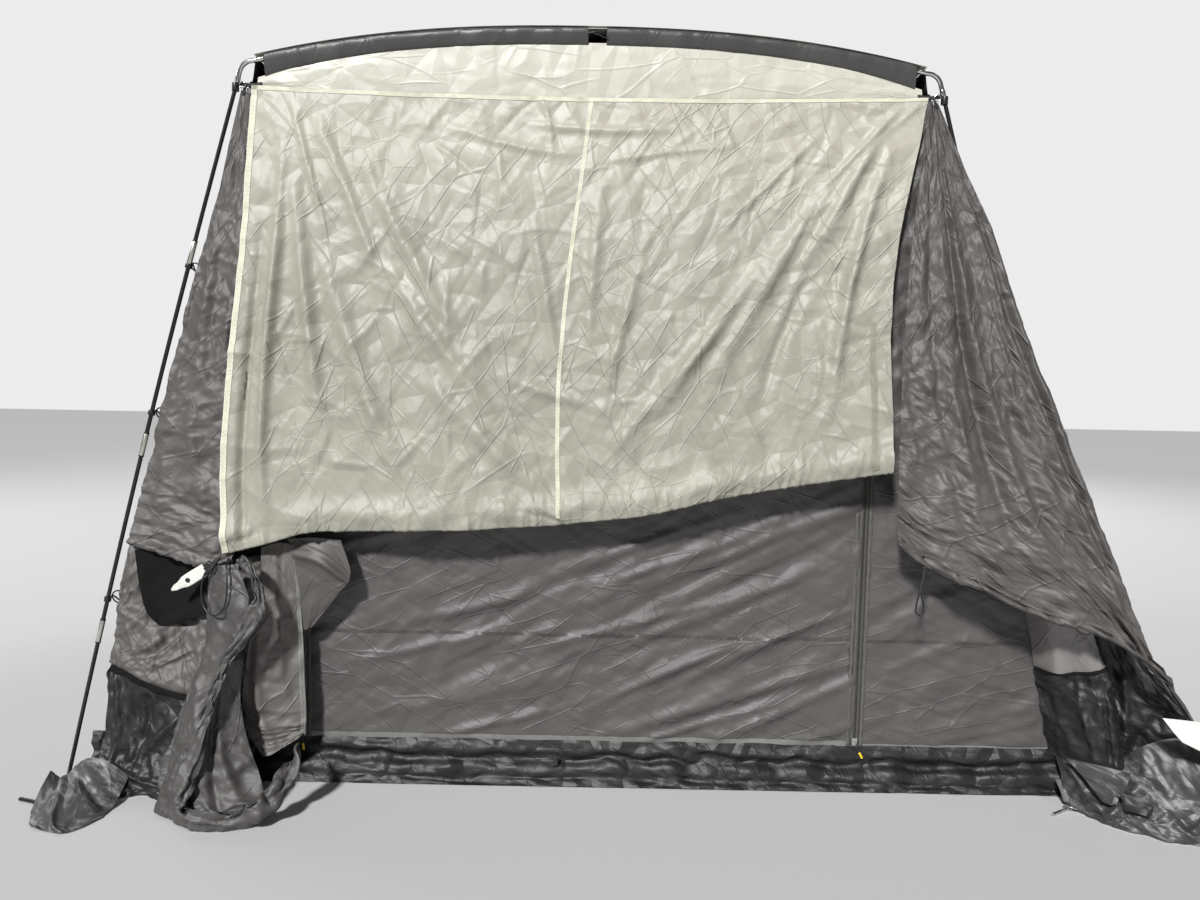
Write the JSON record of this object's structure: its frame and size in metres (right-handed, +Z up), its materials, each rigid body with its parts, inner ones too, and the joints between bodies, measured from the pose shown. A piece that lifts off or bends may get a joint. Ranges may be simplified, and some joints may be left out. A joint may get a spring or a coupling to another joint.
{
  "type": "poled drive-away awning",
  "caption": "Fabric drive-away awning on bowed pole arches with bent steel elbows, a zipped rear door and a tunnel roof and side walls that hang down at the rear.",
  "frame": {"origin": "on the floor at the middle of the rear wall's foot", "axes": "+Z up, +X to the right seen from the vehicle side, -Y towards the vehicle"},
  "size_m": [3.3105, 2.8442, 2.1231],
  "materials": {
    "cream_fabric": "satin coated polyester, creased",
    "grey_fabric": "satin coated polyester, creased",
    "skirt_film": "shiny woven polythene, crumpled",
    "glassfibre": "black drawn glassfibre rod",
    "steel_tube": "bright plated tube",
    "webbing": "black woven webbing",
    "zip_tape": "woven zip tape with a moulded coil",
    "zip_metal": "satin cast slider",
    "white_tab": "white coated webbing"
  },
  "bodies": {
    "awning": {"rear_gable": "cream_fabric", "front_gable": "cream_fabric", "roof": "cream_fabric", "tunnel_roof": "cream_fabric", "rear_sleeve_left": "grey_fabric", "rear_sleeve_right": "grey_fabric", "front_sleeve_left": "grey_fabric", "front_sleeve_right": "grey_fabric", "rear_wall_left": "grey_fabric", "rear_wall_right": "grey_fabric", "rear_wall_top": "grey_fabric", "rear_door": "grey_fabric", "front_wall_left": "grey_fabric", "front_wall_right": "grey_fabric", "front_wall_top": "grey_fabric", "front_door": "grey_fabric", "side_wall_left": "grey_fabric", "side_wall_right": "grey_fabric", "tunnel_wall_left": "grey_fabric", "tunnel_wall_right": "grey_fabric", "tunnel_wing_left": "grey_fabric", "rear_skirt": "skirt_film", "front_skirt": "skirt_film", "side_skirt_left": "skirt_film", "side_skirt_right": "skirt_film", "tunnel_skirt_left": "skirt_film", "tunnel_skirt_right": "skirt_film", "corner_flap_left": "skirt_film", "tunnel_loop_left": "skirt_film", "tunnel_inner_right": "skirt_film", "rear_roof_pole": "glassfibre", "front_roof_pole": "glassfibre", "ridge_pole": "glassfibre", "rear_leg_left": "glassfibre", "rear_leg_right": "glassfibre", "front_leg_left": "glassfibre", "front_leg_right": "glassfibre", "peg_left": "glassfibre", "rear_elbow_left": "steel_tube", "rear_elbow_right": "steel_tube", "front_elbow_left": "steel_tube", "front_elbow_right": "steel_tube", "peg_right": "steel_tube", "corner_tie_left": "webbing", "corner_tie_right": "webbing", "buckle_loop": "webbing", "hem_strap_right": "webbing", "hem_strap_loop_right": "webbing", "zip_left": "zip_tape", "zip_right": "zip_tape", "tunnel_tab": "white_tab"},
    "zip_slider_left": {"slider_left": "zip_metal"},
    "zip_slider_right": {"slider_right": "zip_metal"}
  },
  "joints": [
    {"name": "zip_left_slide", "type": "slide", "parent": "awning", "child": "zip_slider_left", "axis": [0, 0, 1], "range_m": [0, 1.4]},
    {"name": "zip_right_slide", "type": "slide", "parent": "awning", "child": "zip_slider_right", "axis": [0, 0, 1], "range_m": [0, 1.4]}
  ]
}
